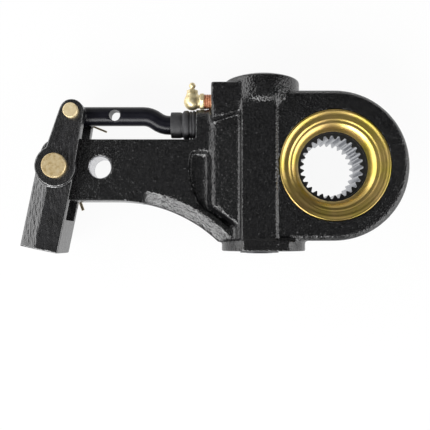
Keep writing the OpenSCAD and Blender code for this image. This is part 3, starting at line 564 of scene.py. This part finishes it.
def drawTeeth(points):
    # a' = c + k (a - c) in angle, c the middle of a tooth for its tip and of a gap for its root
    x, y, z = points.T
    r, a = np.hypot(x, y), np.arctan2(y, x)
    pitch = 2.0 * np.pi / wheelLook["teeth"]
    gap = np.round(a / pitch) * pitch
    tooth = (np.floor(a / pitch) + 0.5) * pitch
    tips = tooth + wheelLook["tipShare"] * (a - tooth)
    roots = gap + wheelLook["rootShare"] * (a - gap)
    a = np.select([r < wheelLook["tipBelow"] * mm, r < wheelLook["rootBelow"] * mm], [tips, roots], a)
    return np.stack([r * np.cos(a), r * np.sin(a), z], -1)


wheelMesh = joinedCopy("worm_wheel", wheelLook["name"])
writePoints(wheelMesh, drawTeeth(readPoints(wheelMesh)))
placePiece(wheelMesh, wheelSteel, "worm_wheel", ["worm_wheel"], wheelLook["angle"])


# pins: joined copies with their rims eased
largePinLook = {"name": "largePin", "node": "large_clevis_pin", "finish": pinGold, "rim": 0.0003}
smallPinLook = {"name": "smallPin", "node": "small_clevis_pin", "finish": pinBright, "rim": 0.00025}
pinRim = {"segments": 3, "from": 40.0, "angle": 38.0}
for look in (largePinLook, smallPinLook):
    pinMesh = joinedCopy(look["node"], look["name"])
    piece = placePiece(pinMesh, look["finish"], "clevis", [look["node"]], pinRim["angle"])
    easing = piece.modifiers.new("rim", "BEVEL")
    easing.width = look["rim"]
    easing.segments = pinRim["segments"]
    easing.limit_method = "ANGLE"
    easing.angle_limit = math.radians(pinRim["from"])


# sealed thread: rings of sealant round the elbow's shank, valley and crest by turns
threadLook = {"name": "sealedThread", "turns": 4, "start": -77.0, "pitch": 1.2, "valley": 4.05,
              "crest": 4.75, "inner": 3.7, "rounds": 1, "columns": 64, "angle": 50.0}
threadStep = np.arange(2 * threadLook["turns"] + 1)
threadX = threadLook["start"] + threadLook["pitch"] * (threadStep / 2.0)
threadRise = np.where(threadStep % 2 == 0, threadLook["valley"], threadLook["crest"])
threadProfile = np.concatenate([np.stack([threadRise, threadX], -1),
                                [[threadLook["inner"], threadX[-1]], [threadLook["inner"], threadX[0]]]])
threadProfile = cutCorners(threadProfile, threadLook["rounds"])
threadMesh = turnedMesh(threadLook["name"], threadProfile, (0.0, axes["elbowY"], 0.0), "X",
                        threadLook["columns"])
placePiece(threadMesh, threadSealant, "housing", [], threadLook["angle"])
print("pieces made")


# camera straight above, its optical axis a little below the picture's middle
camera = {"pictureSide": 430, "focalPixels": 565.0, "axisPixelY": 242.0, "sensor": 36.0, "clip": 0.01,
          "place": (-0.0704, -0.045, 0.349)}
lens = bpy.data.cameras.new("viewCamera")
lens.sensor_width = camera["sensor"]
lens.lens = camera["focalPixels"] / camera["pictureSide"] * lens.sensor_width
lens.shift_y = (camera["axisPixelY"] - camera["pictureSide"] / 2) / camera["pictureSide"]
lens.clip_start = camera["clip"]
viewer = bpy.data.objects.new("viewCamera", lens)
viewer.location = camera["place"]
bpy.context.collection.objects.link(viewer)
bpy.context.scene.camera = viewer


# floor: white to the eye, with a share of real shade
floor = {"half": 3.0, "shade": 0.07, "drop": 0.0002, "colour": (0.9, 0.9, 0.9, 1.0), "roughness": 0.9}
side, level = floor["half"], cadLow.z - floor["drop"]
floorMesh = bpy.data.meshes.new("floor")
floorCorners = [(-side, -side, level), (side, -side, level), (side, side, level), (-side, side, level)]
floorMesh.from_pydata(floorCorners, [], [(0, 1, 2, 3)])
floorPiece = bpy.data.objects.new("floor", floorMesh)
bpy.context.collection.objects.link(floorPiece)
floorPaint, tree, shader = newMaterial("floorWhite")
shader.inputs["Base Color"].default_value = floor["colour"]
shader.inputs["Roughness"].default_value = floor["roughness"]
rays = addNode(tree, "ShaderNodeLightPath")
glow = addNode(tree, "ShaderNodeEmission", {"Color": (1.0, 1.0, 1.0, 1.0), "Strength": 1.0})
seen = calculate(tree, "MAXIMUM", rays.outputs["Is Camera Ray"], rays.outputs["Is Glossy Ray"])
seen = calculate(tree, "MAXIMUM", seen, rays.outputs["Is Transmission Ray"])
share = calculate(tree, "MULTIPLY", seen, 1.0 - floor["shade"])
blendShade = addNode(tree, "ShaderNodeMixShader", {
    0: share, 1: shader.outputs["BSDF"], 2: glow.outputs["Emission"]})
tree.links.new(blendShade.outputs[0], tree.nodes["Material Output"].inputs["Surface"])
floorMesh.materials.append(floorPaint)


# soft boxes around the part, the room above left dark: place and size in metres, power in watts
lampAim = Vector((-0.06, 0.0, 0.0))
lamps = {
    "lampLeft": {"place": (-0.95, 0.25, 0.42), "size": (1.3, 0.75), "power": 7.8},
    "lampRight": {"place": (0.85, -0.35, 0.42), "size": (1.3, 0.75), "power": 9.0},
    "lampFar": {"place": (-0.06, 1.0, 0.42), "size": (1.3, 0.7), "power": 1.2},
    "lampNear": {"place": (-0.6, -0.9, 0.75), "size": (1.3, 0.55), "power": 19.0},
    "lampTop": {"place": (-0.06, 0.25, 1.6), "size": (0.5, 0.5), "power": 0.6}}
for name, look in lamps.items():
    light = bpy.data.lights.new(name, "AREA")
    light.shape = "RECTANGLE"
    light.size, light.size_y = look["size"]
    light.energy = look["power"]
    lamp = bpy.data.objects.new(name, light)
    lamp.location = look["place"]
    lamp.rotation_euler = (lampAim - Vector(look["place"])).to_track_quat("-Z", "Y").to_euler()
    bpy.context.collection.objects.link(lamp)
room = {"colour": (0.5, 0.5, 0.5, 1.0), "strength": 0.04}
world = bpy.data.worlds.new("room")
bpy.context.scene.world = world
world.use_nodes = True
sky = world.node_tree.nodes["Background"]
sky.inputs["Color"].default_value = room["colour"]
sky.inputs["Strength"].default_value = room["strength"]
bpy.context.scene.view_settings.view_transform = "Standard"
print("camera, floor and lamps placed")
